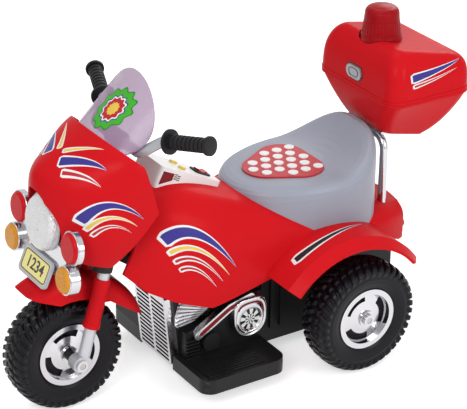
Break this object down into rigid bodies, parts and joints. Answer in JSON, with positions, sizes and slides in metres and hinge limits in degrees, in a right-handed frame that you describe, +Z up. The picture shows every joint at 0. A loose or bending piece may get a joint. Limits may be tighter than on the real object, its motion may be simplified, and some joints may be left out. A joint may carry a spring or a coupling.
{
  "type": "kids electric motorbike",
  "caption": "Child's battery ride-on police-style motorbike with fairing, windshield, lamps, steered front wheel, rear wheels under arches, moulded seat and lidded top box with beacon.",
  "frame": {"origin": "centre of the bounding box in plan, on the ground", "axes": "+X forward, +Y to the rider's left, +Z up"},
  "size_m": [0.9378, 0.4168, 0.632],
  "materials": {
    "body_red": "glossy red moulded plastic",
    "tyre_black": "black moulded tread",
    "chrome_trim": "bright plated plastic",
    "axle_steel": "plain steel rod",
    "black_plastic": "black moulded plastic",
    "silver_plastic": "silver plastic",
    "shield_lilac": "clear tinted sheet",
    "lamp_silver": "grained silver lens",
    "lens_red": "clear red lens",
    "lens_amber": "clear amber lens",
    "plate_grey": "pale grey frame",
    "plate_yellow": "yellow plate",
    "bar_grey": "grey painted tube",
    "grip_black": "ribbed black grip",
    "seat_grey": "blue-grey moulded seat",
    "pad_red": "red pad",
    "dot_white": "white studs",
    "console_grey": "light grey console",
    "button_yellow": "yellow button",
    "switch_red": "red rocker",
    "battery_grey": "sealed battery case",
    "beacon_red": "clear red dome",
    "tail_red": "dark red lens"
  },
  "bodies": {
    "frame": {"chassis": "black_plastic", "radiator_grille": "chrome_trim", "neck": "black_plastic", "body_shell": "body_red", "seat": "seat_grey", "seat_pad": "pad_red", "seat_pad_dots": "dot_white", "control_console": "console_grey", "switch_bezel": "black_plastic", "engine_blocks": "black_plastic", "engine_fins": "chrome_trim", "exhaust_arms": "chrome_trim", "engine_covers": "chrome_trim", "battery": "battery_grey", "drive_motor": "axle_steel", "gearbox": "black_plastic", "pedal_bracket": "black_plastic", "tail_lamp": "tail_red", "box_carrier": "chrome_trim", "box_base": "body_red", "hinge_pin": "axle_steel", "rear_axle": "axle_steel", "rear_axle_caps": "chrome_trim", "rear_axle_spacer": "black_plastic"},
    "steering": {"fork_tubes": "silver_plastic", "fork_sleeves": "body_red", "fork_crown": "black_plastic", "steering_stem": "axle_steel", "front_mudguard": "body_red", "windshield": "shield_lilac", "fairing": "body_red", "fairing_bracket": "black_plastic", "lamp_cluster": "chrome_trim", "head_lamp": "lamp_silver", "red_lamp_lenses": "lens_red", "amber_lamp_lenses": "lens_amber", "plate_frame": "plate_grey", "number_plate": "plate_yellow", "handlebar": "bar_grey", "handlebar_clamp": "black_plastic", "grip_left": "grip_black", "grip_right": "grip_black", "front_axle": "axle_steel", "front_axle_spacers": "black_plastic", "front_axle_caps": "chrome_trim"},
    "front_wheel": {"front_tyre": "tyre_black", "front_rim": "chrome_trim"},
    "rear_wheel_left": {"rear_tyre_left": "tyre_black", "rear_rim_left": "chrome_trim"},
    "rear_wheel_right": {"rear_tyre_right": "tyre_black", "rear_rim_right": "chrome_trim"},
    "pedal": {"accelerator_pedal": "black_plastic"},
    "rocker": {"power_switch": "switch_red"},
    "button_left": {"sound_button_1": "button_yellow"},
    "button_right": {"sound_button_2": "button_yellow"},
    "lid": {"box_lid": "body_red", "beacon_dome": "beacon_red", "beacon_core": "chrome_trim"},
    "latch": {"box_latch": "chrome_trim"}
  },
  "joints": [
    {"name": "steering_turn", "type": "hinge", "parent": "frame", "child": "steering", "pos_m": [0.35131, 0, 0.10779], "axis": [-0.2756, 0, 0.9613], "range_deg": [-20, 20]},
    {"name": "front_wheel_roll", "type": "hinge", "parent": "steering", "child": "front_wheel", "pos_m": [0.359, 0, 0.11], "axis": [0, 1, 0], "continuous": true},
    {"name": "rear_wheel_left_roll", "type": "hinge", "parent": "frame", "child": "rear_wheel_left", "pos_m": [-0.169, 0.172, 0.11], "axis": [0, 1, 0], "continuous": true},
    {"name": "rear_wheel_right_drive", "type": "hinge", "parent": "frame", "child": "rear_wheel_right", "pos_m": [-0.169, -0.172, 0.11], "axis": [0, 1, 0], "continuous": true},
    {"name": "pedal_press", "type": "hinge", "parent": "frame", "child": "pedal", "pos_m": [0.015, -0.134, 0.069], "axis": [0, 1, 0], "range_deg": [0, 8], "stiffness_Nm_per_rad": 3, "springref_deg": -4.58},
    {"name": "power_switch_rock", "type": "hinge", "parent": "frame", "child": "rocker", "pos_m": [0.0705, 0, 0.38909], "axis": [0, 1, 0], "range_deg": [-12, 12]},
    {"name": "left_button_press", "type": "slide", "parent": "frame", "child": "button_left", "axis": [0.4617, 0, -0.887], "range_m": [0, 0.002], "stiffness_N_per_m": 300, "springref_m": -0.001},
    {"name": "right_button_press", "type": "slide", "parent": "frame", "child": "button_right", "axis": [0.4617, 0, -0.887], "range_m": [0, 0.002], "stiffness_N_per_m": 300, "springref_m": -0.001},
    {"name": "lid_open", "type": "hinge", "parent": "frame", "child": "lid", "pos_m": [-0.4616, 0, 0.48225], "axis": [0, -1, 0], "range_deg": [0, 75]},
    {"name": "latch_press", "type": "slide", "parent": "lid", "child": "latch", "axis": [-1, 0, 0], "range_m": [0, 0.002], "stiffness_N_per_m": 400, "springref_m": -0.001}
  ]
}
